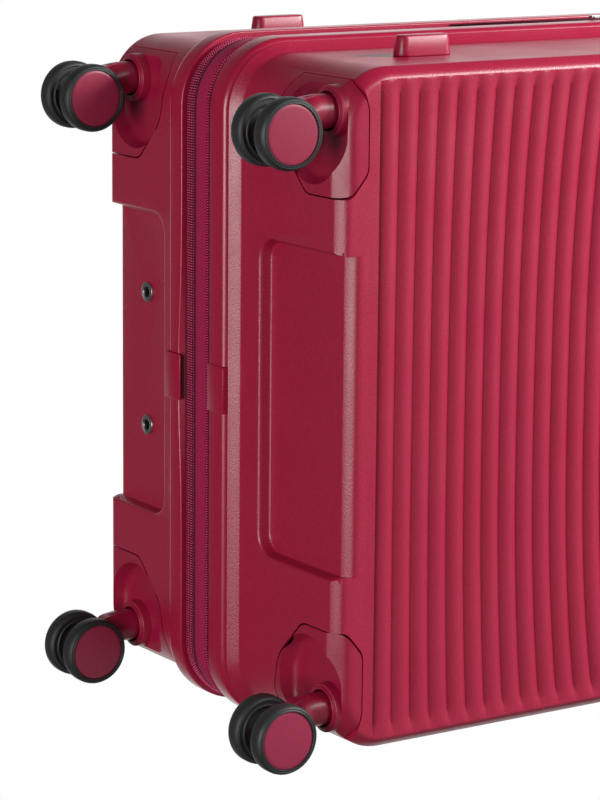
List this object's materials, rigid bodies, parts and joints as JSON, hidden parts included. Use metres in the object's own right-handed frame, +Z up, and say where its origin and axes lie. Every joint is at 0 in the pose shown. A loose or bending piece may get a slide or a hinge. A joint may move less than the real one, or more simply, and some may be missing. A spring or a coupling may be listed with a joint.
{
  "type": "hard shell suitcase",
  "caption": "Upright hard shell travel suitcase with ribbed front, twin wheel casters, opening and expansion zips, two-stage trolley handle and combination lock.",
  "frame": {"origin": "on the floor under the middle of the case", "axes": "+Z up, -Y out of the ribbed front panel, +Y out of the trolley side, -X the hinge side with the feet, +X the lock side"},
  "size_m": [0.512, 0.31, 0.756],
  "materials": {
    "shell": "fine grained polycarbonate, satin sheen",
    "rim_profile": "smooth satin profile",
    "caster_moulding": "smooth satin nylon",
    "wheel_cap": "smooth satin",
    "tyre": "matte polyurethane",
    "zip_cloth": "twill tape",
    "lining_cloth": "plain weave polyester",
    "trolley_tube": "satin anodised",
    "zinc_metal": "nickel plated zinc",
    "handle_moulding": "satin moulded",
    "dial": "satin",
    "lock_moulding": "satin"
  },
  "bodies": {
    "back_case": {"back_shell": "shell", "back_rim": "rim_profile", "back_rim_joiner": "rim_profile", "main_zip_back": "zip_cloth", "back_feet": "caster_moulding", "back_lining": "lining_cloth", "packing_straps": "lining_cloth", "trolley_frame": "trolley_tube", "trolley_rivets": "zinc_metal", "trolley_bezel": "handle_moulding", "handle_plates": "handle_moulding", "lock_case": "lock_moulding", "main_zip_sliders": "zinc_metal", "housing_back_left": "caster_moulding", "housing_back_right": "caster_moulding"},
    "middle_band": {"zip_band": "zip_cloth", "hinge_tape": "zip_cloth", "expansion_gusset": "lining_cloth"},
    "front_case": {"front_shell": "shell", "front_rim": "rim_profile", "front_rim_joiner": "rim_profile", "expansion_zip_front": "zip_cloth", "front_feet": "caster_moulding", "front_lining": "lining_cloth", "housing_front_left": "caster_moulding", "housing_front_right": "caster_moulding"},
    "trolley_middle": {"trolley_middle_tubes": "trolley_tube"},
    "trolley_top": {"trolley_top_tubes": "trolley_tube", "trolley_grip": "handle_moulding"},
    "trolley_button": {"trolley_button": "handle_moulding"},
    "top_handle": {"top_handle": "handle_moulding"},
    "side_handle": {"side_handle": "handle_moulding"},
    "lock_button": {"lock_button": "lock_moulding"},
    "main_pull_lower": {"main_pull_lower": "zinc_metal"},
    "main_pull_upper": {"main_pull_upper": "zinc_metal"},
    "expansion_pull": {"expansion_pull": "zinc_metal"},
    "lock_dial_1": {"lock_dial_1": "dial"},
    "lock_dial_2": {"lock_dial_2": "dial"},
    "lock_dial_3": {"lock_dial_3": "dial"},
    "caster_front_left": {"fork_front_left": "caster_moulding"},
    "wheel_front_left_a": {"wheel_front_left_a": "tyre", "cap_front_left_a": "wheel_cap"},
    "wheel_front_left_b": {"wheel_front_left_b": "tyre", "cap_front_left_b": "wheel_cap"},
    "caster_front_right": {"fork_front_right": "caster_moulding"},
    "wheel_front_right_a": {"wheel_front_right_a": "tyre", "cap_front_right_a": "wheel_cap"},
    "wheel_front_right_b": {"wheel_front_right_b": "tyre", "cap_front_right_b": "wheel_cap"},
    "caster_back_left": {"fork_back_left": "caster_moulding"},
    "wheel_back_left_a": {"wheel_back_left_a": "tyre", "cap_back_left_a": "wheel_cap"},
    "wheel_back_left_b": {"wheel_back_left_b": "tyre", "cap_back_left_b": "wheel_cap"},
    "caster_back_right": {"fork_back_right": "caster_moulding"},
    "wheel_back_right_a": {"wheel_back_right_a": "tyre", "cap_back_right_a": "wheel_cap"},
    "wheel_back_right_b": {"wheel_back_right_b": "tyre", "cap_back_right_b": "wheel_cap"}
  },
  "joints": [
    {"name": "case_open", "type": "hinge", "parent": "back_case", "child": "middle_band", "pos_m": [-0.254, 0.0285, 0.401], "axis": [0, 0, -1], "range_deg": [0, 180], "deforming": ["hinge_tape"]},
    {"name": "expansion", "type": "slide", "parent": "middle_band", "child": "front_case", "axis": [0, -1, 0], "range_m": [0, 0.035], "deforming": ["expansion_gusset"]},
    {"name": "trolley_lower_stage", "type": "slide", "parent": "back_case", "child": "trolley_middle", "axis": [0, 0, 1], "range_m": [0, 0.16]},
    {"name": "trolley_upper_stage", "type": "slide", "parent": "trolley_middle", "child": "trolley_top", "axis": [0, 0, 1], "range_m": [0, 0.16]},
    {"name": "trolley_button_push", "type": "slide", "parent": "trolley_top", "child": "trolley_button", "axis": [0, 0, -1], "range_m": [0, 0.003], "stiffness_N_per_m": 300},
    {"name": "top_handle_lift", "type": "slide", "parent": "back_case", "child": "top_handle", "axis": [0, 0, 1], "range_m": [0, 0.018], "stiffness_N_per_m": 120},
    {"name": "side_handle_lift", "type": "slide", "parent": "back_case", "child": "side_handle", "axis": [1, 0, 0], "range_m": [0, 0.018], "stiffness_N_per_m": 120},
    {"name": "lock_button_push", "type": "slide", "parent": "back_case", "child": "lock_button", "axis": [-1, 0, 0], "range_m": [0, 0.0015], "stiffness_N_per_m": 400},
    {"name": "main_pull_lower_swing", "type": "hinge", "parent": "back_case", "child": "main_pull_lower", "pos_m": [0.2529, 0.0285, 0.371], "axis": [0, 0, -1], "range_deg": [0, 160]},
    {"name": "main_pull_upper_swing", "type": "hinge", "parent": "back_case", "child": "main_pull_upper", "pos_m": [0.2529, 0.0285, 0.431], "axis": [0, 0, -1], "range_deg": [0, 160]},
    {"name": "expansion_pull_swing", "type": "hinge", "parent": "front_case", "child": "expansion_pull", "pos_m": [-0.2529, 0.002, 0.437], "axis": [0, 1, 0], "range_deg": [0, 170]},
    {"name": "lock_dial_1_turn", "type": "hinge", "parent": "back_case", "child": "lock_dial_1", "pos_m": [0.2488, 0.075, 0.393], "axis": [0, 0, 1], "continuous": true},
    {"name": "lock_dial_2_turn", "type": "hinge", "parent": "back_case", "child": "lock_dial_2", "pos_m": [0.2488, 0.075, 0.401], "axis": [0, 0, 1], "continuous": true},
    {"name": "lock_dial_3_turn", "type": "hinge", "parent": "back_case", "child": "lock_dial_3", "pos_m": [0.2488, 0.075, 0.409], "axis": [0, 0, 1], "continuous": true},
    {"name": "caster_front_left_swivel", "type": "hinge", "parent": "front_case", "child": "caster_front_left", "pos_m": [-0.211, -0.132, 0.075], "axis": [0, 0, 1], "continuous": true},
    {"name": "wheel_front_left_a_spin", "type": "hinge", "parent": "caster_front_left", "child": "wheel_front_left_a", "pos_m": [-0.199, -0.14625, 0.025], "axis": [0, 1, 0], "continuous": true},
    {"name": "wheel_front_left_b_spin", "type": "hinge", "parent": "caster_front_left", "child": "wheel_front_left_b", "pos_m": [-0.199, -0.11775, 0.025], "axis": [0, 1, 0], "continuous": true},
    {"name": "caster_front_right_swivel", "type": "hinge", "parent": "front_case", "child": "caster_front_right", "pos_m": [0.211, -0.132, 0.075], "axis": [0, 0, 1], "continuous": true},
    {"name": "wheel_front_right_a_spin", "type": "hinge", "parent": "caster_front_right", "child": "wheel_front_right_a", "pos_m": [0.223, -0.14625, 0.025], "axis": [0, 1, 0], "continuous": true},
    {"name": "wheel_front_right_b_spin", "type": "hinge", "parent": "caster_front_right", "child": "wheel_front_right_b", "pos_m": [0.223, -0.11775, 0.025], "axis": [0, 1, 0], "continuous": true},
    {"name": "caster_back_left_swivel", "type": "hinge", "parent": "back_case", "child": "caster_back_left", "pos_m": [-0.211, 0.132, 0.075], "axis": [0, 0, 1], "continuous": true},
    {"name": "wheel_back_left_a_spin", "type": "hinge", "parent": "caster_back_left", "child": "wheel_back_left_a", "pos_m": [-0.199, 0.11775, 0.025], "axis": [0, 1, 0], "continuous": true},
    {"name": "wheel_back_left_b_spin", "type": "hinge", "parent": "caster_back_left", "child": "wheel_back_left_b", "pos_m": [-0.199, 0.14625, 0.025], "axis": [0, 1, 0], "continuous": true},
    {"name": "caster_back_right_swivel", "type": "hinge", "parent": "back_case", "child": "caster_back_right", "pos_m": [0.211, 0.132, 0.075], "axis": [0, 0, 1], "continuous": true},
    {"name": "wheel_back_right_a_spin", "type": "hinge", "parent": "caster_back_right", "child": "wheel_back_right_a", "pos_m": [0.223, 0.11775, 0.025], "axis": [0, 1, 0], "continuous": true},
    {"name": "wheel_back_right_b_spin", "type": "hinge", "parent": "caster_back_right", "child": "wheel_back_right_b", "pos_m": [0.223, 0.14625, 0.025], "axis": [0, 1, 0], "continuous": true}
  ]
}
